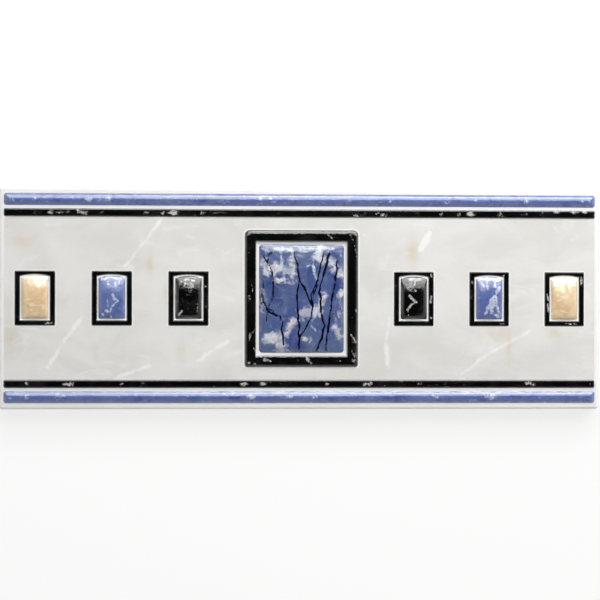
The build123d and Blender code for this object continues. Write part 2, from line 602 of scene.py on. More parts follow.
@dataclass(frozen=True)
class TileBody:
    """The pressed body: sides, keyed back and the flat of the face."""

    relief: Relief
    corner_radius: float = 1.0
    edge_radius: float = 0.8
    back_arris: float = 0.4
    glaze_run: float = 1.9
    glaze_wave: float = 0.45
    key_columns: int = 6
    key_rows: int = 2
    key_border: float = 6.0
    key_rib: float = 3.0
    key_depth: float = 0.8
    key_radius: float = 2.0
    key_draft: float = 0.3
    print_margin: float = 1.4
    print_half_width: float = 26.75
    pitch: float = 1.2
    fine_pitch: float = 0.43
    waves: tuple[tuple[float, ...], ...] = (
        (1.0, 0.31, 0.0, 0.8), (0.6, 0.83, 0.5, 0.0), (0.5, 0.0, 0.57, 2.0),
    )

    @property
    def outline(self) -> Outline:
        """Outline of the whole tile."""
        return Outline(TILE_LENGTH, TILE_WIDTH, self.corner_radius, across=200, along=74)

    def side_of(self, place: int) -> Zone:
        """The side of the tile that a segment of its outline lies on.

        Args:
            place: number of the segment.

        Returns:
            The side.
        """
        columns, rows = self.outline.columns, self.outline.rows
        for zone, count in (
            (Zone.FRONT_SIDE, columns),
            (Zone.RIGHT_END, rows),
            (Zone.REAR_SIDE, columns),
        ):
            if place < count:
                return zone
            place -= count
        return Zone.LEFT_END

    def build_sides(self, surface: Surface) -> tuple[list[int], list[int]]:
        """Add the four sides, glazed over their top edge and bare below.

        Args:
            surface: the tile's surface.

        Returns:
            The ring round the back and the ring round the face.
        """
        outline, level = self.outline, self.relief.level
        flat = outline.ring()
        count = len(flat)
        run = np.array([self.glaze_edge(x, y) for x, y in flat])
        rings = [
            (outline.ring(self.back_arris), np.zeros(count), Glaze.BISQUE),
            (flat, np.full(count, self.back_arris), Glaze.BISQUE),
            (flat, level - run, Glaze.BISQUE),
        ]
        for inset, rise in arc_steps(self.edge_radius, self.edge_radius, self.relief.steps):
            heights = np.full(count, level - self.edge_radius + rise)
            rings.append((outline.ring(inset), heights, Glaze.WHITE))
        numbers = [surface.add_ring(points, heights) for points, heights, _ in rings]
        for below, above, (_, _, glaze) in zip(numbers, numbers[1:], rings[1:]):
            surface.bridge(below, above, glaze, self.side_of)
        return numbers[0], numbers[-1]

    def glaze_edge(self, x: float, y: float) -> float:
        """Depth below the face at which the glaze ends at a point of the outline."""
        wave = sum(share * math.sin(by_x * x + by_y * y + start)
                   for share, by_x, by_y, start in self.waves)
        return self.glaze_run + self.glaze_wave * wave / sum(share for share, *_ in self.waves)

    def key_side(self, side: float, count: int) -> float:
        """Length of a key along a side of the tile that holds so many of them."""
        return (side - 2 * self.key_border - (count - 1) * self.key_rib) / count

    def build_back(self, surface: Surface, ring: list[int]) -> None:
        """Add the back, with its pressed keys.

        Args:
            surface: the tile's surface.
            ring: the ring round the back.
        """
        width = self.key_side(TILE_LENGTH, self.key_columns)
        length = self.key_side(TILE_WIDTH, self.key_rows)
        depth = self.key_depth
        rings, holes = [ring], []
        for column in range(self.key_columns):
            for row in range(self.key_rows):
                x = (column - (self.key_columns - 1) / 2) * (width + self.key_rib)
                y = (row - (self.key_rows - 1) / 2) * (length + self.key_rib)
                key = Outline(width, length, self.key_radius, across=8, along=6, corner=3,
                              center=(x, y))
                mouth = surface.add_ring(key.ring(), np.zeros(2 * (key.columns + key.rows)))
                floor = surface.add_ring(key.ring(self.key_draft), np.full(len(mouth), depth))
                surface.bridge(floor, mouth, Glaze.BISQUE, Zone.BACK)
                surface.cap(key, floor, lambda flat: np.full(len(flat), depth), Glaze.BISQUE,
                            Zone.BACK, False)
                rings.append(mouth)
                holes.append(key)
        surface.fill(rings, holes, np.zeros((0, 2)), 0.0, lambda x, y: Glaze.BISQUE,
                     Zone.BACK, False)

    def printed(self, x: float, y: float) -> Glaze:
        """Finish of the flat of the face: marbled between the lines, white round the edge."""
        half_length = TILE_LENGTH / 2 - self.print_margin
        inside = abs(x) < half_length and abs(y) < self.print_half_width
        return Glaze.FIELD if inside else Glaze.WHITE

    def build_face(self, surface: Surface, ring: list[int],
                   forms: list[tuple[Outline, list[int]]]) -> None:
        """Fill the flat of the face round its raised forms.

        Args:
            surface: the tile's surface.
            ring: the ring round the face.
            forms: each form's hole and the ring around it.
        """
        holes = [hole for hole, _ in forms]
        fine = self.field_grid(self.fine_pitch)
        near = np.min([stroke.distance(fine) for stroke in FIELD_STREAKS], axis=0) < self.pitch
        extra = [
            (x, y)
            for x, y in np.vstack([self.field_grid(self.pitch), fine[near]])
            if not any(hole.holds(x, y, -self.fine_pitch) for hole in holes)
        ]
        rings = [ring, *(around for _, around in forms)]
        surface.fill(rings, holes, np.array(extra), self.relief.level, self.printed,
                     Zone.FACE, True)

    def field_grid(self, pitch: float) -> np.ndarray:
        """Points spaced evenly over the marbled field.

        Args:
            pitch: distance between them.

        Returns:
            Rows of X and Y.
        """
        halves = (TILE_LENGTH / 2 - self.print_margin, self.print_half_width)
        lines = [np.linspace(-half, half, round(2 * half / pitch)) for half in halves]
        return np.stack(np.meshgrid(*lines, indexing="ij"), axis=-1).reshape(-1, 2)


@dataclass(frozen=True)
class Layout:
    """Where the forms stand on the face."""

    relief: Relief
    side_margin: float = 2.15
    bead_width: float = 3.8
    line_gap: float = 1.25
    line_width: float = 2.5
    medallion_width: float = 37.7
    medallion_clearance: float = 4.45
    end_gap: float = 5.0
    per_side: int = 3
    small_width: float = 13.2
    small_length: float = 18.0

    @property
    def bead_place(self) -> float:
        """Distance of a bead's middle from the tile's middle."""
        return TILE_WIDTH / 2 - self.side_margin - self.bead_width / 2

    @property
    def line_place(self) -> float:
        """Distance of a line's middle from the tile's middle."""
        return self.bead_place - self.bead_width / 2 - self.line_gap - self.line_width / 2

    def mouldings(self) -> list[Moulding]:
        """The beads and lines along both long sides.

        Returns:
            The four mouldings.
        """
        made: list[Moulding] = []
        for side in (-1, 1):
            made.append(Bead(self.relief, side * self.bead_place, self.bead_width))
            made.append(LineRidge(self.relief, side * self.line_place, self.line_width))
        return made

    def medallion(self) -> FramedPad:
        """The large framed panel in the middle.

        Returns:
            The panel with its frame.
        """
        length = 2 * self.line_place - self.line_width - 2 * self.medallion_clearance
        outline = Outline(self.medallion_width, length, radius=0.8, across=88, along=112, corner=5,
                          top_radius=1.6)
        return FramedPad(
            self.relief, outline, Glaze.PANEL, halo=0.6, bar=3.6, frame_height=0.8,
            outer_round=(1.1, 0.65), inner_round=(0.2, 0.3), reveal=1.2, pad_corner=1.0,
            crown=1.5, sag_across=0.5, sag_along=0.7, shoulder=2.4, flat_rings=4,
        )

    def cabochons(self) -> list[FramedPad]:
        """The small framed cabochons, from the middle outwards on each side.

        Returns:
            The six cabochons with their frames.
        """
        run = TILE_LENGTH / 2 - self.end_gap - self.medallion_width / 2
        pitch = run / self.per_side
        first = self.medallion_width / 2 + pitch - self.small_width / 2
        made: list[FramedPad] = []
        for side in (-1, 1):
            for step, glaze in enumerate((Glaze.BLACK, Glaze.COBALT, Glaze.CREAM)):
                center = (side * (first + step * pitch), 0.0)
                outline = Outline(self.small_width, self.small_length, radius=0.3, across=26,
                                  along=36, corner=3, center=center)
                made.append(FramedPad(
                    self.relief, outline, glaze, halo=0.4, bar=1.6, frame_height=0.3,
                    outer_round=(0.15, 0.15), inner_round=(0.1, 0.1), reveal=0.7,
                    pad_corner=0.3, crown=1.45, sag_across=0.5, sag_along=0.9, shoulder=1.1,
                    flat_rings=3, arch=0.6,
                ))
        return made


@dataclass(frozen=True)
class Stroke:
    """A painted line on the face: its points in millimetres and its half width."""

    points: tuple[Point2, ...]
    half_width: float
    swell: ClassVar[Point2] = (0.65, 1.35)

    def moved(self, x: float, y: float) -> Stroke:
        """The same stroke moved over the face."""
        return replace(self, points=tuple((px + x, py + y) for px, py in self.points))

    def shaken(self, chance: np.random.Generator, sway: float, piece: float = 1.5) -> list[Stroke]:
        """The stroke as a brush would leave it, in short pieces that sway and swell.

        Args:
            chance: source of the chance numbers.
            sway: how far the pieces' ends stray.
            piece: length of a piece.

        Returns:
            The pieces.
        """
        path = [np.array(self.points[0])]
        for start, end in zip(self.points, self.points[1:]):
            a, b = np.array(start), np.array(end)
            count = max(1, round(float(np.linalg.norm(b - a)) / piece))
            for k in range(1, count + 1):
                path.append(a + (b - a) * k / count + chance.normal(0.0, sway, 2))
        return [
            Stroke((tuple(a), tuple(b)), self.half_width * chance.uniform(*self.swell))
            for a, b in zip(path, path[1:])
        ]

    def distance(self, flat: np.ndarray) -> np.ndarray:
        """Distance from the stroke's edge, below zero inside it.

        Args:
            flat: rows of X and Y.

        Returns:
            One distance for each row.
        """
        nearest = np.full(len(flat), np.inf)
        for start, end in zip(self.points, self.points[1:]):
            a, b = np.array(start), np.array(end)
            along = np.clip(((flat - a) @ (b - a)) / ((b - a) @ (b - a)), 0, 1)
            away = np.linalg.norm(flat - a - along[:, None] * (b - a), axis=1)
            nearest = np.minimum(nearest, away)
        return nearest - self.half_width


@dataclass(frozen=True)
class Patch:
    """A soft painted blot: its middle and its half sizes in millimetres."""

    x: float
    y: float
    half_x: float
    half_y: float
    strength: float = 1.0

    def cover(self, flat: np.ndarray) -> np.ndarray:
        """How strongly the blot covers each of several rows of X and Y, up to its strength."""
        across, along = (flat[:, 0] - self.x) / self.half_x, (flat[:, 1] - self.y) / self.half_y
        return self.strength * np.exp(-(across**2 + along**2))


DARK_VEINS = (
    Stroke(((-9.8, 15.5), (-11.1, 14.6), (-11.4, 12.1), (-10.3, 9.9), (-9.5, 5.6), (-9.5, 0.9),
            (-10.5, -1.6), (-11.1, -3.4)), 0.27),
    Stroke(((-12.9, 14.3), (-11.4, 11.9)), 0.2),
    Stroke(((-13.2, 7.8), (-13.0, 4.5), (-13.4, 1.3), (-12.5, -0.9), (-11.4, -4.0), (-9.4, -5.1),
            (-7.3, -6.0), (-6.4, -8.1), (-6.6, -10.3), (-6.0, -13.9), (-5.6, -17.3)), 0.27),
    Stroke(((-13.4, 1.3), (-13.6, -2.0)), 0.2),
    Stroke(((-11.4, -4.0), (-11.8, -7.6)), 0.22),
    Stroke(((-11.1, -3.4), (-9.8, -4.0), (-9.4, -4.9)), 0.2),
    Stroke(((-2.4, 16.6), (-2.5, 13.6), (-1.3, 11.4), (-0.9, 6.3), (-1.5, 1.6), (-1.3, -4.5),
            (-1.0, -9.9), (-0.8, -16.8)), 0.28),
    Stroke(((-0.6, 6.1), (1.4, 2.7), (2.7, -0.5), (3.6, -2.7), (3.0, -6.3), (0.7, -10.7),
            (-0.6, -12.8), (-0.9, -15.4)), 0.28),
    Stroke(((7.4, 15.4), (6.5, 11.7), (5.2, 6.3), (3.6, 2.3), (3.0, 1.3), (3.6, -2.0)), 0.25),
    Stroke(((5.2, 4.5), (3.9, 1.3)), 0.22),
    Stroke(((9.4, 16.1), (8.1, 11.0), (6.6, 6.0), (5.9, 2.0), (6.5, -4.5), (7.4, -8.9),
            (6.8, -13.2), (5.4, -15.7), (5.0, -17.3)), 0.34),
    Stroke(((11.7, 14.6), (11.9, 11.7), (11.2, 6.3), (10.1, 0.5), (9.4, -6.3), (8.5, -12.8),
            (8.3, -17.3)), 0.28),
)
PANEL_VEINS = (
    Stroke(((-7.1, 15.5), (-6.7, 11.5)), 0.3),
    Stroke(((-3.3, 15.6), (-2.7, 13.5)), 0.25),
    Stroke(((3.7, 11.1), (4.3, 8.4), (5.0, 5.8)), 0.3),
    Stroke(((1.7, 10.8), (4.0, 11.5)), 0.22),
    Stroke(((6.0, -1.7), (4.3, -5.8)), 0.35),
    Stroke(((3.3, -9.2), (4.7, -10.5)), 0.25),
    Stroke(((-11.3, -12.4), (-8.5, -13.9)), 0.35),
    Stroke(((-4.7, -11.2), (-7.3, -13.4)), 0.4),
)
PANEL_CLOUDS = (
    Stroke(((-12.7, 12.4), (-12.2, 10.2), (-11.4, 8.2)), 0.8),
    Stroke(((-10.3, 9.8), (-7.3, 9.5), (-3.0, 8.8)), 1.0),
    Stroke(((-9.3, 7.5), (-7.3, 6.1), (-3.3, 6.8)), 0.5),
    Stroke(((-3.3, 12.8), (-2.0, 8.8)), 0.6),
    Stroke(((6.0, 16.1), (5.3, 13.8), (8.0, 12.8)), 1.3),
    Stroke(((8.7, 12.5), (11.3, 10.5)), 1.0),
    Stroke(((12.7, 9.5), (13.8, 6.1)), 0.6),
    Stroke(((13.8, 2.8), (12.2, -0.5)), 0.4),
    Stroke(((13.2, -3.0), (12.0, -6.2)), 0.15),
    Stroke(((8.0, 1.8), (7.0, -1.2), (6.0, -3.9)), 0.7),
    Stroke(((5.3, -3.9), (2.6, -4.9), (0.7, -4.5)), 1.2),
    Stroke(((0.4, -5.0), (-2.7, -8.2), (-4.7, -11.2)), 1.0),
    Stroke(((-10.7, -12.9), (-7.3, -14.5), (-6.3, -17.2)), 1.3),
    Stroke(((-5.3, -11.2), (-7.3, -13.2)), 0.6),
    Stroke(((11.0, -9.5), (13.3, -12.5)), 0.5),
    Stroke(((0.0, -12.5), (2.5, -14.5)), 0.3),
    Stroke(((-12.9, 2.8), (-13.2, -3.2)), 0.35),
)
FRAME_STROKES = (
    Stroke(((8.1, 22.3), (10.2, 19.9)), 0.2),
    Stroke(((16.6, -12.1), (18.3, -14.7)), 0.2),
    Stroke(((1.7, -19.6), (3.4, -21.7)), 0.3),
    Stroke(((-17.5, -14.5), (-17.2, -11.9), (-15.7, -10.2)), 0.1),
    Stroke(((-16.7, 4.8), (-16.0, 2.1)), 0.06),
    Stroke(((-16.0, -16.5), (-15.0, -18.5), (-12.7, -19.9), (-10.3, -20.9)), 0.14),
    Stroke(((-18.0, -21.2), (-15.3, -21.9)), 0.12),
    Stroke(((16.7, -17.2), (18.0, -21.2)), 0.1),
    # A painted sheen: a pale stroke on the frame's rounded upper right corner, where the light is
    # reflected.
    Stroke(((16.0, 21.8), (17.3, 19.8)), 0.14),
    Stroke(((17.7, 17.5), (18.3, 14.1)), 0.06),
)
FRAME_FLECKS = (
    Patch(-17.4, 0.2, 0.8, 1.4, 0.5),
    Patch(-17.2, -12.4, 0.6, 1.2, 0.55),
    Patch(-17.3, -21.4, 0.8, 0.6, 0.6),
    Patch(-12.0, -20.5, 1.6, 0.7, 0.6),
    Patch(2.3, -20.5, 0.9, 1.0, 0.85),
    Patch(18.2, -3.9, 0.5, 0.9, 0.6),
    Patch(17.3, -13.9, 0.7, 1.4, 0.55),
    Patch(18.0, -18.6, 0.5, 0.9, 0.6),
    Patch(17.3, -20.8, 0.8, 0.5, 0.6),
)
TOP_LINE_FLECKS = (
    Patch(-83.2, 0.1, 1.2, 0.9, 0.8),
    Patch(-80.0, 0.2, 1.8, 0.6, 0.7),
    Patch(-77.4, 0.3, 1.3, 0.7, 0.6),
    Patch(-74.0, 0.5, 0.9, 0.8, 0.9),
    Patch(-72.0, -0.1, 1.4, 0.7, 0.95),
    Patch(-51.8, 0.0, 1.0, 0.6, 0.7),
    Patch(-46.2, -0.1, 0.9, 0.8, 0.8),
    Patch(-42.6, 0.0, 1.6, 0.8, 1.3),
    Patch(-33.0, 0.1, 0.9, 0.7, 0.8),
    Patch(-30.4, -0.4, 0.6, 0.4, 0.7),
    Patch(-15.8, -0.5, 0.8, 0.5, 0.7),
    Patch(18.4, -0.5, 2.2, 0.5, 0.9),
    Patch(21.3, 0.4, 0.9, 0.5, 0.7),
    Patch(25.1, 0.2, 0.8, 0.6, 1.0),
    Patch(27.4, -0.5, 1.2, 0.6, 1.0),
    Patch(46.9, 0.0, 1.1, 0.6, 0.7),
    Patch(52.8, 0.0, 0.9, 0.8, 0.8),
    Patch(56.6, 0.0, 1.5, 0.8, 1.3),
    Patch(66.2, 0.0, 0.9, 0.9, 0.8),
    Patch(67.8, -0.5, 0.7, 0.5, 0.7),
    Patch(74.9, 0.3, 1.6, 0.5, 0.7),
    Patch(80.6, 0.4, 1.2, 0.5, 0.7),
    Patch(85.6, 0.8, 1.6, 0.5, 0.9),
    Patch(91.7, 0.6, 1.5, 0.5, 1.1),
    Patch(95.2, 0.9, 0.7, 0.6, 1.2),
)
LOW_LINE_FLECKS = (
    Patch(-91.1, 0.0, 0.8, 0.8, 0.8),
    Patch(-77.8, -0.2, 1.9, 0.5, 0.9),
    Patch(-76.4, -0.1, 0.8, 0.8, 1.2),
    Patch(-59.6, 0.1, 0.7, 0.6, 0.7),
    Patch(-29.2, -0.6, 0.7, 0.4, 0.7),
    Patch(-19.2, -0.1, 1.4, 0.7, 1.0),
    Patch(-12.9, 0.1, 1.1, 0.6, 1.2),
    Patch(8.7, 0.0, 0.7, 0.7, 0.9),
    Patch(21.4, -0.3, 1.2, 0.6, 0.9),
    Patch(22.9, 0.0, 0.8, 0.8, 1.2),
    Patch(39.6, 0.3, 0.7, 0.6, 0.9),
    Patch(54.6, -0.3, 0.7, 0.5, 0.6),
    Patch(76.3, 0.3, 1.4, 0.6, 1.0),
    Patch(78.0, -0.3, 0.9, 0.5, 1.0),
    Patch(97.3, -0.1, 0.5, 0.6, 0.7),
)
TOP_BEAD_FLECKS = (
    Patch(-95.8, -0.1, 0.9, 1.0, 0.7),
    Patch(-88.4, 0.0, 1.0, 0.9, 0.7),
    Patch(-84.2, 0.0, 0.7, 0.6, 0.5),
    Patch(-70.6, -0.1, 1.3, 0.9, 1.1),
    Patch(-67.0, -0.5, 1.0, 0.5, 0.9),
    Patch(-64.2, 0.1, 1.0, 1.0, 1.1),
    Patch(-55.3, 0.0, 0.6, 0.8, 0.5),
    Patch(-13.6, 0.2, 0.8, 0.7, 0.7),
    Patch(-10.4, 0.5, 1.1, 0.5, 0.7),
    Patch(-9.2, -0.5, 0.9, 0.6, 0.9),
    Patch(15.8, -0.4, 0.9, 0.7, 0.8),
    Patch(29.3, -0.2, 1.2, 0.6, 0.7),
    Patch(48.5, -0.7, 1.1, 0.5, 0.9),
    Patch(58.3, 0.2, 0.7, 0.5, 0.7),
    Patch(64.1, 0.3, 1.0, 0.5, 0.7),
    Patch(75.2, -0.2, 0.8, 1.1, 0.9),
    Patch(94.2, 0.1, 0.6, 0.5, 1.1),
)
LOW_BEAD_FLECKS = (
    Patch(-96.6, -0.2, 0.7, 0.5, 1.0),
    Patch(-91.0, 0.1, 1.0, 0.9, 0.9),
    Patch(-16.9, 0.1, 1.5, 0.8, 1.3),
    Patch(-4.0, 0.2, 1.4, 0.7, 0.9),
    Patch(1.2, 0.0, 0.7, 0.8, 0.7),
    Patch(4.4, 0.0, 1.2, 0.7, 0.9),
    Patch(27.4, 0.0, 0.7, 0.8, 0.6),
    Patch(44.6, 0.4, 0.8, 0.8, 1.0),
    Patch(45.5, 0.0, 0.7, 0.8, 0.9),
    Patch(64.0, 0.2, 1.7, 0.8, 1.1),
    Patch(63.8, -0.5, 1.2, 0.5, 0.9),
    Patch(80.0, -0.1, 1.0, 0.6, 0.6),
)
MOULDING_FLECKS = (LOW_BEAD_FLECKS, LOW_LINE_FLECKS, TOP_BEAD_FLECKS, TOP_LINE_FLECKS)
LEFT_CREAM_MARKS = (
    Stroke(((3.6, -8.3), (5.6, -8.3)), 0.2),
    # A painted glint: a pale dot that stands for a glint of light on the dome.
    Stroke(((-1.2, -3.9), (-1.2, -4.1)), 0.3),
)
LEFT_BLUE_MARKS = (
    Stroke(((0.4, 1.0), (1.9, -0.85)), 0.4),
    Stroke(((1.9, -0.85), (-0.1, -3.0), (-0.4, -4.4)), 0.2),
    Stroke(((-1.8, -4.1), (-1.8, -4.3)), 0.32),
    Stroke(((-3.3, -5.4), (-3.0, -5.6)), 0.28),
    Stroke(((-0.3, -6.0), (-0.2, -6.2)), 0.2),
    Stroke(((-1.5, -0.8), (-1.1, -2.4)), 0.12),
)
LEFT_BLACK_MARKS = (
    Stroke(((-3.2, -5.3), (-2.0, -4.4)), 0.25),
    Stroke(((5.4, 3.5), (5.8, 4.3)), 0.2),
    Stroke(((3.0, -1.1), (2.8, -4.5)), 0.04),
)
RIGHT_BLACK_MARKS = (
    Stroke(((-1.6, 1.0), (0.5, -1.0)), 0.3),
    Stroke(((0.7, -1.1), (-0.9, -2.0)), 0.14),
    Stroke(((-0.7, -1.7), (-2.2, -3.6)), 0.22),
    Stroke(((-2.0, -3.6), (-1.8, -5.9)), 0.06),
    Stroke(((5.7, 8.2), (5.8, 7.7)), 0.22),
    Stroke(((5.8, 1.0), (5.5, -1.0)), 0.24),
    Stroke(((5.7, -6.2), (5.7, -6.5)), 0.2),
    # A painted glint: a white dot that stands for a glint of light on the dome.
    Stroke(((0.2, 3.1), (0.4, 2.7)), 0.2),
)
RIGHT_BLUE_MARKS = (
    Stroke(((3.2, 3.7), (1.9, 1.2)), 0.4),
    Stroke(((1.9, 1.2), (0.6, -0.6), (-0.4, -2.9), (-1.4, -4.8)), 0.45),
    Stroke(((1.0, -0.6), (0.6, -4.8)), 0.8),
    Stroke(((2.1, 0.5), (2.8, -2.9), (2.9, -5.7)), 0.3),
    Stroke(((1.2, -4.8), (3.1, -6.0)), 0.25),
    Stroke(((-5.7, 5.6), (-5.7, 5.3)), 0.3),
    Stroke(((3.7, -8.3), (5.2, -8.3)), 0.12),
)
RIGHT_CREAM_MARKS = (
    Stroke(((-5.6, -1.6), (-5.6, -4.5)), 0.28),
    Stroke(((-5.8, 1.5), (-5.6, -0.1)), 0.2),
    Stroke(((5.8, 7.3), (5.7, 5.2)), 0.2),
    Stroke(((0.4, -8.1), (2.2, -8.2)), 0.2),
    Stroke(((3.3, -8.1), (4.2, -8.2)), 0.16),
)
CABOCHON_MARKS = (
    (LEFT_BLACK_MARKS, LEFT_BLUE_MARKS, LEFT_CREAM_MARKS),
    (RIGHT_BLACK_MARKS, RIGHT_BLUE_MARKS, RIGHT_CREAM_MARKS),
)
# Painted highlights: pale drip-like strokes over the upper end of each cabochon, where the glare
# of the light lies on the dome, in millimetres from the cabochon's middle.
LEFT_BLACK_PAINTED_HIGHLIGHTS = (
    Stroke(((-2.4, 5.5), (-0.6, 6.3), (1.8, 5.9)), 0.18),
    Stroke(((-0.9, 5.7), (-1.6, 4.1)), 0.12),
    Stroke(((0.8, 5.6), (1.4, 3.7)), 0.14),
)
LEFT_BLUE_PAINTED_HIGHLIGHTS = (
    Stroke(((-3.3, 6.3), (-0.4, 7.1), (3.3, 6.5)), 0.3),
    Stroke(((-1.4, 5.3), (-1.0, 4.7)), 0.22),
    Stroke(((0.9, 5.2), (1.4, 4.4)), 0.22),
    Stroke(((2.3, 5.6), (2.5, 5.2)), 0.2),
)
LEFT_CREAM_PAINTED_HIGHLIGHTS = (
    Stroke(((-3.4, 7.0), (3.6, 6.8)), 0.6),
    Stroke(((0.4, 6.2), (1.2, 4.0)), 0.6),
    Stroke(((3.0, 6.2), (3.2, 4.4)), 0.4),
)
RIGHT_BLACK_PAINTED_HIGHLIGHTS = (
    Stroke(((-1.6, 6.5), (2.5, 6.2)), 0.35),
    Stroke(((0.3, 6.0), (0.2, 4.6)), 0.3),
)
RIGHT_BLUE_PAINTED_HIGHLIGHTS = (
    Stroke(((-3.6, 6.7), (3.6, 6.7)), 0.55),
    Stroke(((-3.2, 6.4), (-2.2, 4.4)), 0.35),
    Stroke(((-1.2, 6.2), (-0.6, 3.4)), 0.4),
    Stroke(((1.6, 6.4), (1.8, 4.2)), 0.4),
)
RIGHT_CREAM_PAINTED_HIGHLIGHTS = (
    Stroke(((-3.7, 6.7), (3.7, 6.7)), 0.7),
    Stroke(((-2.8, 6.2), (-2.6, 4.6)), 0.5),
    Stroke(((-0.9, 6.4), (-0.4, 2.6)), 0.6),
    Stroke(((1.6, 6.2), (1.7, 2.6)), 0.4),
    Stroke(((3.4, 6.2), (3.5, 4.6)), 0.4),
)
CABOCHON_PAINTED_HIGHLIGHTS = (
    (LEFT_BLACK_PAINTED_HIGHLIGHTS, LEFT_BLUE_PAINTED_HIGHLIGHTS, LEFT_CREAM_PAINTED_HIGHLIGHTS),
    (RIGHT_BLACK_PAINTED_HIGHLIGHTS, RIGHT_BLUE_PAINTED_HIGHLIGHTS, RIGHT_CREAM_PAINTED_HIGHLIGHTS),
)
# Painted highlights: pale strokes along the panel's upper edge and corners, where the glare of the
# light lies.
PANEL_PAINTED_HIGHLIGHTS = (
    Stroke(((-13.1, 16.6), (-11.0, 15.5)), 0.4),
    Stroke(((-11.8, 16.3), (-11.9, 14.9)), 0.15),
    Stroke(((-9.6, 16.9), (-3.4, 16.5)), 0.45),
    Stroke(((-0.8, 16.8), (4.2, 16.7)), 0.3),
    Stroke(((5.0, 16.8), (10.4, 16.4), (12.6, 15.5)), 0.45),
    Stroke(((13.1, 16.3), (13.2, 14.7)), 0.22),
)
FIELD_STREAKS = (
    Stroke(((-46.7, 26.3), (-54.6, 15.9), (-58.3, 10.9)), 0.45),
    Stroke(((-72.5, -6.2), (-78.3, -13.7), (-84.2, -22.9)), 0.45),
    Stroke(((-24.6, -14.5), (-29.5, -17.0), (-34.6, -20.8)), 0.6),
    Stroke(((-50.8, -22.5), (-60.8, -25.8)), 0.5),
    Stroke(((42.9, 22.1), (40.0, 17.1)), 0.8),
    Stroke(((29.6, -6.6), (28.3, -14.5), (29.1, -22.9)), 0.45),
    Stroke(((76.6, -10.8), (63.3, -17.9), (54.1, -25.0)), 0.4),
)
FIELD_BLUSHES = (
    Patch(-92.5, 18.8, 3.5, 2.0, 0.8),
    Patch(-50.4, 11.0, 1.2, 3.8),
    Patch(-45.0, 1.3, 1.2, 2.6),
    Patch(-96.3, -12.9, 2.2, 2.2),
    Patch(-40.0, -17.9, 1.3, 3.2, 0.8),
    Patch(-68.3, -17.9, 1.0, 2.4, 0.6),
    Patch(37.2, 15.5, 1.8, 5.0),
    Patch(69.7, -14.5, 0.9, 6.0, 0.9),
    Patch(66.0, -12.0, 4.0, 2.0, 0.8),
    Patch(85.0, -11.2, 2.4, 1.8),
)


@dataclass(frozen=True)
class Painting:
    """The hand-painted marbling and the painted highlights, kept as values at the mesh's points.
    """

    layout: Layout
    reach: float = 3.0
    seed: int = 11
    sway: float = 0.13

    def pale_strokes_and_highlights(self) -> tuple[Stroke, ...]:
        """All the pale strokes of the panel, the frames and the cabochons, painted highlights
        among them.

        Returns:
            The strokes in their places on the face.
        """
        placed = [
            stroke.moved(*form.outline.center)
            for sides in (CABOCHON_MARKS, CABOCHON_PAINTED_HIGHLIGHTS)
            for form, group in zip(self.layout.cabochons(), (*sides[0], *sides[1]))
            for stroke in group
        ]
        return (*PANEL_VEINS, *FRAME_STROKES, *placed, *PANEL_PAINTED_HIGHLIGHTS)

    def flecks(self) -> tuple[Patch, ...]:
        """All the pale flecks of the large frame, the beads and the lines.

        Returns:
            The flecks in their places on the face.
        """
        placed = [
            replace(patch, y=patch.y + moulding.place)
            for moulding, group in zip(self.layout.mouldings(), MOULDING_FLECKS)
            for patch in group
        ]
        return (*FRAME_FLECKS, *placed)

    def stroke_field(self, strokes: tuple[Stroke, ...], flat: np.ndarray) -> np.ndarray:
        """Distance from the nearest of several strokes, no further than the reach.

        Args:
            strokes: the strokes.
            flat: rows of X and Y.

        Returns:
            One distance for each row.
        """
        chance = np.random.default_rng(self.seed)
        nearest = np.full(len(flat), self.reach)
        for piece in (piece for stroke in strokes for piece in stroke.shaken(chance, self.sway)):
            low = np.min(piece.points, axis=0) - self.reach
            high = np.max(piece.points, axis=0) + self.reach
            near = np.all((flat > low) & (flat < high), axis=1)
            nearest[near] = np.minimum(nearest[near], piece.distance(flat[near]))
        return nearest

    def patch_field(self, patches: tuple[Patch, ...], flat: np.ndarray) -> np.ndarray:
        """The strongest cover among several blots, for each row of X and Y."""
        return np.max([patch.cover(flat) for patch in patches], axis=0)

    def store(self, mesh: bpy.types.Mesh, flat: np.ndarray) -> None:
        """Write the marbling's values, painted highlights included, onto the mesh.

        Args:
            mesh: the tile's mesh.
            flat: X and Y of its points, in millimetres.
        """
        values = {
            "dark_vein": self.stroke_field(DARK_VEINS, flat),
            "pale_vein_and_highlight": self.stroke_field(self.pale_strokes_and_highlights(), flat),
            "pale_cloud": self.stroke_field(PANEL_CLOUDS, flat),
            "fleck": self.patch_field(self.flecks(), flat),
            "streak": self.stroke_field(FIELD_STREAKS, flat),
            "blush": self.patch_field(FIELD_BLUSHES, flat),
        }
        for name, amounts in values.items():
            attribute = mesh.attributes.new(name, "FLOAT", "POINT")
            attribute.data.foreach_set("value", amounts.astype(np.float32))


@dataclass(frozen=True)
class Grain:
    """A noise in the tile's own space, and the span of it that counts."""

    scale: float
    detail: float = 3.0
    roughness: float = 0.55
    distortion: float = 0.0
    stretch: float = 1.0
    turn: float = 0.0
    shift: float = 0.0
    span: Point2 = (0.3, 0.7)


@dataclass(frozen=True)
class Brush:
    """How painted strokes are drawn.

    The edge strays by wander and fades over soft, in millimetres. Worn is the share of the cover
    that is lost in places, and scale is the features per metre of the edge and the wear.
    """

    wander: float
    soft: float
    worn: float = 0.0
    scale: float = 620.0

    @property
    def edge(self) -> Grain:
        """Noise by which the edge strays."""
        return Grain(self.scale, 5.0, 0.62, 0.5)

    @property
    def wear(self) -> Grain:
        """Noise by which the cover is worn."""
        return Grain(0.8 * self.scale, 4.0, 0.6, 0.8, shift=0.25, span=(0.38, 0.62))


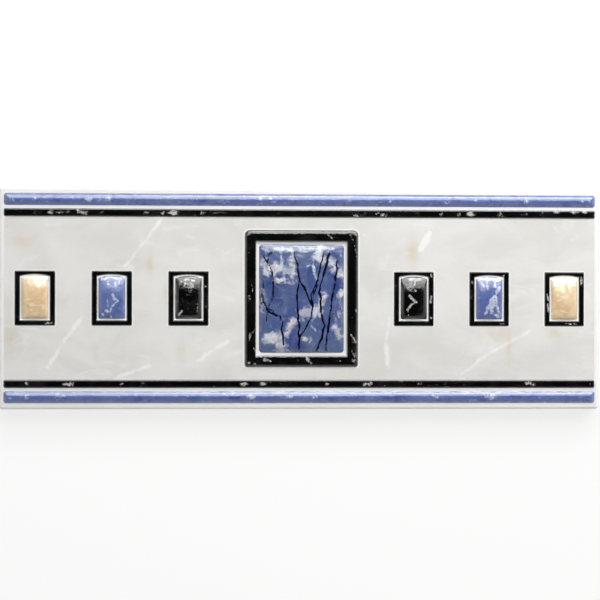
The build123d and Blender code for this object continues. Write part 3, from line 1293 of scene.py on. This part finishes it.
class Nodes:
    """A node tree, with short ways to add and join its nodes."""

    def __init__(self, tree: bpy.types.NodeTree) -> None:
        """Work on a tree."""
        self.tree = tree

    def feed(self, node: bpy.types.Node, inputs: dict[str | int, object]) -> None:
        """Link or set a node's inputs.

        Args:
            node: the node.
            inputs: an output socket, a number or a colour for each input.
        """
        for name, value in inputs.items():
            if isinstance(value, bpy.types.NodeSocket):
                self.tree.links.new(value, node.inputs[name])
            else:
                node.inputs[name].default_value = value

    def add(self, kind: str, inputs: dict[str | int, object] | None = None,
            **settings: object) -> bpy.types.Node:
        """Add a node.

        Args:
            kind: its type, without the prefix that all of them have.
            inputs: an output socket, a number or a colour for each input.
            settings: values of the node's own properties.

        Returns:
            The node.
        """
        node = self.tree.nodes.new("ShaderNode" + kind)
        for name, value in settings.items():
            setattr(node, name, value)
        self.feed(node, inputs or {})
        return node

    def span(self, value: bpy.types.NodeSocket, low: float, high: float, to_low: float = 0.0,
             to_high: float = 1.0) -> bpy.types.NodeSocket:
        """Map a value smoothly from one range to another.

        Args:
            value: the value.
            low: where the range starts.
            high: where it ends.
            to_low: result at its start.
            to_high: result at its end.

        Returns:
            The mapped value.
        """
        ends = {"From Min": low, "From Max": high, "To Min": to_low, "To Max": to_high}
        node = self.add("MapRange", {"Value": value, **ends}, interpolation_type="SMOOTHSTEP")
        return node.outputs["Result"]

    def math(self, operation: str, first: object, second: object) -> bpy.types.NodeSocket:
        """Combine two values, each an output socket or a number."""
        return self.add("Math", {0: first, 1: second}, operation=operation).outputs["Value"]

    def times(self, first: object, second: object) -> bpy.types.NodeSocket:
        """Multiply two values."""
        return self.math("MULTIPLY", first, second)

    def mix(self, share: object, first: object, second: object) -> bpy.types.NodeSocket:
        """Mix two colours.

        Args:
            share: how much of the second.
            first: a colour or an output socket.
            second: a colour or an output socket.

        Returns:
            The mixed colour.
        """
        node = self.add("Mix", {"Factor": share}, data_type="RGBA")
        colors = [place for place, socket in enumerate(node.inputs) if socket.type == "RGBA"]
        self.feed(node, dict(zip(colors, (first, second))))
        return next(socket for socket in node.outputs if socket.type == "RGBA")


class Bench(Nodes):
    """One material's node tree, with the layers that its finish is drawn from."""

    pools: Grain = Grain(260.0)
    ripples: Grain = Grain(340.0, 5.0, 0.62)
    fleck_share: Point2 = (0.3, 1.6)
    fleck_span: Point2 = (0.28, 0.9)
    shift_in_y: float = 1.7

    def __init__(self, name: str) -> None:
        """Start a material with a shader and nothing else.

        Args:
            name: the material's name.
        """
        self.material = bpy.data.materials.new(name)
        self.material.use_nodes = True
        super().__init__(self.material.node_tree)
        self.tree.nodes.clear()
        self.shader = self.add("BsdfPrincipled")
        self.add("OutputMaterial", {"Surface": self.shader.outputs["BSDF"]})
        self.place = self.add("TexCoord").outputs["Object"]

    def noise(self, grain: Grain) -> bpy.types.NodeSocket:
        """Add a noise in the tile's own space.

        Args:
            grain: its settings.

        Returns:
            The noise's value, about 0 to 1.
        """
        mapping = self.add("Mapping", {
            "Vector": self.place,
            "Location": (grain.shift, self.shift_in_y * grain.shift, 0.0),
            "Rotation": (0.0, 0.0, math.radians(grain.turn)),
            "Scale": (1.0, grain.stretch, 1.0),
        })
        node = self.add("TexNoise", {
            "Vector": mapping.outputs["Vector"],
            "Scale": grain.scale,
            "Detail": grain.detail,
            "Roughness": grain.roughness,
            "Distortion": grain.distortion,
        })
        return node.outputs["Fac"]

    def drawn(self, grain: Grain, ends: Point2 = (0.0, 1.0)) -> bpy.types.NodeSocket:
        """A noise whose span is mapped to the given ends."""
        return self.span(self.noise(grain), *grain.span, *ends)

    def painted(self, name: str) -> bpy.types.NodeSocket:
        """Read a value that was stored at the mesh's points."""
        return self.add("Attribute", attribute_name=name).outputs["Fac"]

    def stroke(self, name: str, brush: Brush) -> bpy.types.NodeSocket:
        """Draw the painted strokes with a ragged, soft edge.

        Args:
            name: the stored distance from the strokes' edge.
            brush: how they are drawn.

        Returns:
            1 inside the strokes, falling to 0 beside them.
        """
        stray = self.drawn(brush.edge, (-brush.wander, brush.wander))
        distance = self.math("ADD", self.painted(name), stray)
        cover = self.span(distance, -brush.soft / 2, brush.soft / 2, 1.0, 0.0)
        return self.times(cover, self.drawn(brush.wear, (1.0 - brush.worn, 1.0)))

    def flecks(self, torn: Grain) -> bpy.types.NodeSocket:
        """Draw the painted flecks, torn into ragged specks by a noise."""
        cover = self.times(self.painted("fleck"), self.drawn(torn, self.fleck_share))
        return self.span(cover, *self.fleck_span)

    def bump(self, height: bpy.types.NodeSocket, depth: float) -> None:
        """Give the surface a fine relief, of a depth in metres."""
        normal = self.add("Bump", {"Distance": depth, "Height": height}).outputs["Normal"]
        self.feed(self.shader, {"Normal": normal, "Coat Normal": normal})

    def glaze(self, color: object, rough: Point2, ripple: float) -> bpy.types.Material:
        """Finish the material as a fired gloss glaze.

        Args:
            color: the colour under the glaze.
            rough: roughness where the glaze is thick and where it is thin.
            ripple: depth of the glaze's ripple, in metres.

        Returns:
            The material.
        """
        self.feed(self.shader, {
            "Base Color": color,
            "Roughness": self.drawn(self.pools, rough),
            "IOR": 1.66,
            "Coat Weight": 1.0,
            "Coat Roughness": 0.07,
            "Coat IOR": 1.6,
        })
        self.bump(self.noise(self.ripples), ripple)
        return self.material


@dataclass(frozen=True)
class WhiteGlaze:
    """Plain white glaze of the margins, the reveals and the edge."""

    base: Color = linear(245, 245, 243)
    pooled: Color = linear(239, 238, 236)
    cloud: Grain = Grain(55.0, 4.0, span=(0.4, 0.75))
    rough: Point2 = (0.08, 0.16)
    ripple: float = 0.00003

    def material(self) -> bpy.types.Material:
        """Make the material."""
        bench = Bench("white_glaze")
        color = bench.mix(bench.drawn(self.cloud), self.base, self.pooled)
        return bench.glaze(color, self.rough, self.ripple)


@dataclass(frozen=True)
class FieldGlaze:
    """Pale marbled ground between the lines."""

    base: Color = linear(232, 231, 228)
    shade: Color = linear(222, 220, 215)
    pale: Color = linear(237, 236, 234)
    streak: Color = linear(250, 249, 246)
    blush: Color = linear(215, 198, 172)
    cloud: Grain = Grain(38.0, 6.0, 0.6, 0.6, 1.6, 35.0, span=(0.35, 0.68))
    wisp: Grain = Grain(70.0, 5.0, 0.6, 1.2, 2.4, -50.0, 0.31, (0.55, 0.75))
    patchy: Grain = Grain(210.0, 5.0, 0.62)
    blush_share: Point2 = (0.3, 0.75)
    brush: Brush = Brush(0.35, 1.0, 0.35, 240.0)
    streak_share: float = 0.8
    rough: Point2 = (0.1, 0.18)
    ripple: float = 0.00003

    def material(self) -> bpy.types.Material:
        """Make the material."""
        bench = Bench("field_glaze")
        color = bench.mix(bench.drawn(self.cloud), self.base, self.shade)
        color = bench.mix(bench.drawn(self.wisp), color, self.pale)
        patchy = bench.drawn(self.patchy, self.blush_share)
        color = bench.mix(bench.times(bench.painted("blush"), patchy), color, self.blush)
        streak = bench.stroke("streak", self.brush)
        color = bench.mix(bench.times(streak, self.streak_share), color, self.streak)
        return bench.glaze(color, self.rough, self.ripple)


@dataclass(frozen=True)
class CobaltGlaze:
    """Blue marbled glaze of the beads and the blue cabochons."""

    base: Color = linear(92, 107, 165)
    deep: Color = linear(66, 79, 144)
    slate: Color = linear(104, 121, 172)
    fleck: Color = linear(172, 184, 216)
    pale: Color = linear(206, 214, 230)
    tone: Grain = Grain(120.0, 5.0, 0.6, 0.8, span=(0.35, 0.65))
    dark: Grain = Grain(210.0, 4.0, 0.6, 0.5, shift=0.4, span=(0.5, 0.75))
    specks: Grain = Grain(330.0, 5.0, 0.65, 1.4, 1.8, 40.0, 0.7, (0.58, 0.72))
    speck_share: float = 0.7
    torn: Grain = Grain(700.0, 5.0, 0.66, 0.8, shift=0.35, span=(0.34, 0.64))
    fleck_share: float = 0.75
    brush: Brush = Brush(0.3, 0.45, 0.45, 900.0)
    rough: Point2 = (0.08, 0.16)
    ripple: float = 0.00016

    def material(self) -> bpy.types.Material:
        """Make the material."""
        bench = Bench("cobalt_glaze")
        color = bench.mix(bench.drawn(self.tone), self.base, self.slate)
        color = bench.mix(bench.drawn(self.dark), color, self.deep)
        specks = bench.times(bench.drawn(self.specks), self.speck_share)
        color = bench.mix(specks, color, self.fleck)
        flecks = bench.times(bench.flecks(self.torn), self.fleck_share)
        color = bench.mix(flecks, color, self.pale)
        # Pale veins, with the painted highlights on the blue cabochons.
        color = bench.mix(bench.stroke("pale_vein_and_highlight", self.brush), color, self.pale)
        return bench.glaze(color, self.rough, self.ripple)


@dataclass(frozen=True)
class BlackGlaze:
    """Black marbled glaze of the frames, the lines and the black cabochons."""

    base: Color = linear(9, 9, 10)
    soft: Color = linear(28, 27, 27)
    grey: Color = linear(96, 94, 90)
    pale: Color = linear(214, 212, 206)
    cloud: Grain = Grain(160.0, 5.0, 0.6, 0.6, span=(0.45, 0.75))
    wisp: Grain = Grain(420.0, 4.0, 0.6, 0.8, 2.2, 38.0, 0.2, (0.6, 0.72))
    wisp_places: Grain = Grain(60.0, shift=0.9, span=(0.52, 0.62))
    specks: Grain = Grain(520.0, 3.0, 0.6, 0.4, 2.6, 30.0, 0.6, (0.68, 0.74))
    speck_places: Grain = Grain(85.0, 2.0, shift=0.5, span=(0.56, 0.64))
    torn: Grain = Grain(1000.0, 5.0, 0.66, 0.8, shift=0.35, span=(0.34, 0.64))
    fleck_share: float = 0.8
    brush: Brush = Brush(0.2, 0.3, 0.6, 1200.0)
    rough: Point2 = (0.06, 0.12)
    ripple: float = 0.00015

    def material(self) -> bpy.types.Material:
        """Make the material."""
        bench = Bench("black_glaze")
        color = bench.mix(bench.drawn(self.cloud), self.base, self.soft)
        wisps = bench.times(bench.drawn(self.wisp), bench.drawn(self.wisp_places))
        color = bench.mix(wisps, color, self.grey)
        specks = bench.times(bench.drawn(self.specks), bench.drawn(self.speck_places))
        color = bench.mix(specks, color, self.pale)
        flecks = bench.times(bench.flecks(self.torn), self.fleck_share)
        color = bench.mix(flecks, color, self.pale)
        # Pale veins and flecks, with the painted highlights and a painted glint on the black
        # cabochons and a painted sheen at the medallion frame's upper right corner.
        color = bench.mix(bench.stroke("pale_vein_and_highlight", self.brush), color, self.pale)
        return bench.glaze(color, self.rough, self.ripple)


@dataclass(frozen=True)
class CreamGlaze:
    """Warm marbled glaze of the cream cabochons."""

    base: Color = linear(237, 212, 174)
    deep: Color = linear(224, 189, 145)
    pale: Color = linear(246, 232, 208)
    tone: Grain = Grain(190.0, 5.0, 0.6, 0.9, span=(0.35, 0.7))
    wisp: Grain = Grain(260.0, 5.0, 0.6, 1.2, 1.8, -40.0, 0.57, (0.52, 0.7))
    brush: Brush = Brush(0.2, 0.3, 0.3)
    rough: Point2 = (0.08, 0.16)
    ripple: float = 0.00016

    def material(self) -> bpy.types.Material:
        """Make the material."""
        bench = Bench("cream_glaze")
        color = bench.mix(bench.drawn(self.tone), self.base, self.deep)
        color = bench.mix(bench.drawn(self.wisp), color, self.pale)
        # Pale marks, with the painted highlights and a painted glint on the cream cabochons.
        color = bench.mix(bench.stroke("pale_vein_and_highlight", self.brush), color, self.pale)
        return bench.glaze(color, self.rough, self.ripple)


@dataclass(frozen=True)
class PanelGlaze:
    """Blue marble of the medallion, with dark veins and pale clouds."""

    base: Color = linear(76, 89, 142)
    deep: Color = linear(54, 67, 126)
    slate: Color = linear(92, 109, 144)
    mottle: Color = linear(118, 133, 178)
    cloud: Color = linear(218, 222, 232)
    warm: Color = linear(240, 233, 226)
    pale: Color = linear(206, 214, 230)
    vein: Color = linear(6, 10, 34)
    tone: Grain = Grain(130.0, 5.0, 0.6, 0.7, 0.6, span=(0.35, 0.65))
    dark: Grain = Grain(190.0, 4.0, 0.6, 0.5, 0.5, shift=0.4, span=(0.48, 0.72))
    mottling: Grain = Grain(420.0, 5.0, 0.66, 0.8, shift=0.8, span=(0.52, 0.7))
    mottle_share: float = 0.7
    warmth: Grain = Grain(260.0, 4.0, shift=0.15, span=(0.45, 0.65))
    cloud_brush: Brush = Brush(1.3, 2.2, 0.5, 420.0)
    cloud_share: float = 0.92
    pale_brush: Brush = Brush(0.3, 0.5, 0.5, 900.0)
    vein_brush: Brush = Brush(0.1, 0.16)
    rough: Point2 = (0.08, 0.16)
    ripple: float = 0.00016

    def material(self) -> bpy.types.Material:
        """Make the material."""
        bench = Bench("panel_glaze")
        color = bench.mix(bench.drawn(self.tone), self.base, self.slate)
        color = bench.mix(bench.drawn(self.dark), color, self.deep)
        mottling = bench.times(bench.drawn(self.mottling), self.mottle_share)
        color = bench.mix(mottling, color, self.mottle)
        cloud = bench.times(bench.stroke("pale_cloud", self.cloud_brush), self.cloud_share)
        tint = bench.mix(bench.drawn(self.warmth), self.cloud, self.warm)
        color = bench.mix(cloud, color, tint)
        # Pale veins, with the painted highlights along the panel's upper edge.
        color = bench.mix(bench.stroke("pale_vein_and_highlight", self.pale_brush), color, self.pale)
        color = bench.mix(bench.stroke("dark_vein", self.vein_brush), color, self.vein)
        return bench.glaze(color, self.rough, self.ripple)


@dataclass(frozen=True)
class Bisque:
    """Bare fired clay of the back and the lower sides."""

    base: Color = linear(206, 187, 162)
    stain: Color = linear(187, 165, 138)
    speck: Color = linear(152, 124, 98)
    stains: Grain = Grain(45.0, 5.0, span=(0.35, 0.7))
    clay: Grain = Grain(1900.0, span=(0.66, 0.74))
    dry: Grain = Grain(300.0)
    rough: Point2 = (0.78, 0.92)
    depth: float = 0.00008

    def material(self) -> bpy.types.Material:
        """Make the material."""
        bench = Bench("bisque")
        color = bench.mix(bench.drawn(self.stains), self.base, self.stain)
        clay = bench.noise(self.clay)
        color = bench.mix(bench.span(clay, *self.clay.span), color, self.speck)
        rough = bench.drawn(self.dry, self.rough)
        bench.feed(bench.shader, {"Base Color": color, "Roughness": rough})
        bench.bump(clay, self.depth)
        return bench.material


FINISHES = {
    Glaze.WHITE: WhiteGlaze(),
    Glaze.FIELD: FieldGlaze(),
    Glaze.COBALT: CobaltGlaze(),
    Glaze.BLACK: BlackGlaze(),
    Glaze.CREAM: CreamGlaze(),
    Glaze.PANEL: PanelGlaze(),
    Glaze.BISQUE: Bisque(),
}


@dataclass(frozen=True)
class TextureSheet:
    """Where each side of the tile lies on its texture."""

    name: str = "OFBake"
    scale: float = 1 / 206.0
    gap: float = 3.0

    def origin(self, zone: Zone) -> Point2:
        """Lower left corner of a side's place on the sheet, in millimetres.

        Args:
            zone: the side.

        Returns:
            U and V before scaling.
        """
        tall = TILE_HEIGHT + self.gap
        wide = TILE_WIDTH + self.gap
        sides = 2 * wide + self.gap
        return {
            Zone.FACE: (self.gap, self.gap),
            Zone.BACK: (self.gap, wide + self.gap),
            Zone.FRONT_SIDE: (self.gap, sides),
            Zone.REAR_SIDE: (self.gap, sides + tall),
            Zone.LEFT_END: (self.gap, sides + 2 * tall),
            Zone.RIGHT_END: (wide + self.gap, sides + 2 * tall),
        }[zone]

    def place(self, zone: Zone, point: Point3) -> Point2:
        """Place of a point on the sheet.

        Args:
            zone: the side that its face lies on.
            point: the point, in millimetres.

        Returns:
            U and V.
        """
        x, y, z = point[0] + TILE_LENGTH / 2, point[1] + TILE_WIDTH / 2, point[2]
        flat = {
            Zone.FACE: (x, y),
            Zone.BACK: (x, TILE_WIDTH - y),
            Zone.FRONT_SIDE: (x, z),
            Zone.REAR_SIDE: (TILE_LENGTH - x, z),
            Zone.LEFT_END: (TILE_WIDTH - y, z),
            Zone.RIGHT_END: (y, z),
        }[zone]
        left, low = self.origin(zone)
        return ((left + flat[0]) * self.scale, (low + flat[1]) * self.scale)

    def lay(self, mesh: bpy.types.Mesh, surface: Surface) -> None:
        """Write the sheet onto the mesh.

        Args:
            mesh: the tile's mesh.
            surface: the surface that it was made from.
        """
        places = [
            self.place(zone, surface.points[n])
            for face, zone in zip(surface.faces, surface.zones)
            for n in face
        ]
        layer = mesh.uv_layers.new(name=self.name)
        layer.data.foreach_set("uv", np.array(places, np.float32).ravel())


@dataclass
class BorderTile:
    """The whole tile: its body, the forms on its face and their finishes."""

    relief: Relief = field(default_factory=Relief)
    surface: Surface = field(default_factory=Surface)
    sharp_angle: float = math.radians(42)

    def build(self) -> bpy.types.Object:
        """Build the tile's mesh and dress it.

        Returns:
            The tile.
        """
        body = TileBody(self.relief)
        layout = Layout(self.relief)
        back_ring, face_ring = body.build_sides(self.surface)
        body.build_back(self.surface, back_ring)
        parts = [*layout.mouldings(), layout.medallion(), *layout.cabochons()]
        forms = [part.build(self.surface) for part in parts]
        body.build_face(self.surface, face_ring, forms)
        return self.dress()

    def dress(self) -> bpy.types.Object:
        """Turn the gathered surface into a dressed object.

        Returns:
            The tile.
        """
        points = np.array(self.surface.points)
        mesh = bpy.data.meshes.new(NODE + "_dressed")
        mesh.from_pydata((points * MM).tolist(), [], self.surface.faces)
        for glaze in Glaze:
            mesh.materials.append(FINISHES[glaze].material())
        mesh.polygons.foreach_set("material_index", [glaze.value for glaze in self.surface.glazes])
        TextureSheet().lay(mesh, self.surface)
        Painting(Layout(self.relief)).store(mesh, points[:, :2])
        mesh.shade_smooth()
        mesh.set_sharp_from_angle(angle=self.sharp_angle)
        mesh.update()
        tile = bpy.data.objects.new("glazed_border_tile", mesh)
        bpy.context.scene.collection.objects.link(tile)
        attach(tile, BODY)
        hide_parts(NODE)
        return tile


@dataclass(frozen=True)
class Lamp:
    """A soft panel of light: its power in watts, its width and height, and where its middle is."""

    name: str
    power: float
    size: Point2
    place: Point3

    def hang(self) -> None:
        """Hang the lamp so that it faces the line of the tile's length."""
        data = bpy.data.lights.new(self.name, "AREA")
        data.shape = "RECTANGLE"
        data.size, data.size_y = self.size
        data.energy = self.power
        light = bpy.data.objects.new(self.name, data)
        light.location = self.place
        light.rotation_mode = "QUATERNION"
        toward = Vector((0.0, -self.place[1], -self.place[2]))
        light.rotation_quaternion = toward.to_track_quat("-Z", "Y")
        bpy.context.scene.collection.objects.link(light)


@dataclass(frozen=True)
class Studio:
    """Floor, light and camera round the tile, in metres."""

    floor_size: float = 6.0
    floor_color: Color = linear(246, 246, 245)
    floor_white: float = 0.78
    floor_fade: Point2 = (0.25, 1.0)
    sky_color: Color = linear(255, 255, 255)
    sky_strength: float = 0.4
    dark_sky_above: float = 0.9
    open_sky_below: float = 0.8
    sky_above: float = 0.4
    backdrop_below: float = 0.3
    lamps: tuple[Lamp, ...] = (
        Lamp("key", 3.75, (0.9, 0.46), (0.2, 0.34, 0.34)),
        Lamp("core", 0.9, (0.5, 0.12), (0.2, 0.45, 0.26)),
        Lamp("glint", 0.11, (0.07, 0.03), (0.02, 0.18, 0.57)),
    )
    face_level: float = 0.0075
    aim: Point2 = (-0.0005, -0.00055)
    camera_distance: float = 0.75
    camera_yaw: float = math.radians(-3.6)
    camera_roll: float = math.radians(0.13)
    sensor: float = 36.0

    def seen_rays(self, nodes: Nodes) -> bpy.types.NodeSocket:
        """Tell the rays that see the white background from those that carry light.

        Args:
            nodes: the node tree to add to.

        Returns:
            1 for a ray from the camera or one mirrored or let through, else 0.
        """
        path = nodes.add("LightPath").outputs
        seen = nodes.math("MAXIMUM", path["Is Camera Ray"], path["Is Glossy Ray"])
        return nodes.math("MAXIMUM", seen, path["Is Transmission Ray"])

    def build_floor(self) -> None:
        """Lay the pale floor, which fades to white away from the tile."""
        half = self.floor_size / 2
        corners = [(-half, -half, 0), (half, -half, 0), (half, half, 0), (-half, half, 0)]
        mesh = bpy.data.meshes.new("floor")
        mesh.from_pydata(corners, [], [(0, 1, 2, 3)])
        material = bpy.data.materials.new("floor")
        material.use_nodes = True
        nodes = Nodes(material.node_tree)
        nodes.tree.nodes.clear()
        place = nodes.add("TexCoord").outputs["Object"]
        reach = nodes.add("VectorMath", {0: place}, operation="LENGTH").outputs["Value"]
        white = nodes.span(reach, *self.floor_fade, self.floor_white)
        blend = nodes.add("MixShader", {
            "Fac": nodes.times(self.seen_rays(nodes), white),
            1: nodes.add("BsdfDiffuse", {"Color": self.floor_color}).outputs["BSDF"],
            2: nodes.add("Emission").outputs["Emission"],
        })
        nodes.add("OutputMaterial", {"Surface": blend.outputs["Shader"]})
        mesh.materials.append(material)
        floor = bpy.data.objects.new("floor", mesh)
        bpy.context.scene.collection.objects.link(floor)

    def build_lights(self) -> None:
        """Light the tile softly, from above in the picture and a little from the right."""
        world = bpy.data.worlds.new("studio")
        world.use_nodes = True
        nodes = Nodes(world.node_tree)
        toward = nodes.add("TexCoord").outputs["Generated"]
        height = nodes.add("SeparateXYZ", {"Vector": toward}).outputs["Z"]
        sky = nodes.span(height, self.open_sky_below, self.dark_sky_above, self.sky_strength, 0.0)
        backdrop = nodes.span(height, self.backdrop_below, self.sky_above, 1.0, 0.0)
        white = nodes.times(backdrop, self.seen_rays(nodes))
        strength = nodes.math("MAXIMUM", sky, white)
        background = nodes.tree.nodes["Background"]
        nodes.feed(background, {"Color": self.sky_color, "Strength": strength})
        bpy.context.scene.world = world
        for lamp in self.lamps:
            lamp.hang()

    def build_camera(self) -> None:
        """Look straight down on the face, with its left end a little nearer."""
        data = bpy.data.cameras.new("camera")
        data.sensor_width = self.sensor
        data.lens = self.sensor / 2 / (TILE_LENGTH * MM / 2 / self.camera_distance)
        camera = bpy.data.objects.new("camera", data)
        camera.location = (
            math.sin(self.camera_yaw) * self.camera_distance + self.aim[0],
            self.aim[1],
            math.cos(self.camera_yaw) * self.camera_distance + self.face_level,
        )
        camera.rotation_euler = (0.0, self.camera_yaw, self.camera_roll)
        bpy.context.scene.collection.objects.link(camera)
        bpy.context.scene.camera = camera

    def build(self) -> None:
        """Set up the whole studio."""
        self.build_floor()
        self.build_lights()
        self.build_camera()
        bpy.context.scene.view_settings.view_transform = "Standard"


def main() -> None:
    """Build the tile and its studio, and report what was made."""
    logging.basicConfig(level=logging.INFO, format="%(name)s: %(message)s")
    tile = BorderTile().build()
    log.info("%s: %d faces", tile.name, len(tile.data.polygons))
    Studio().build()
    log.info("studio ready")


if __name__ == "__main__":
    main()
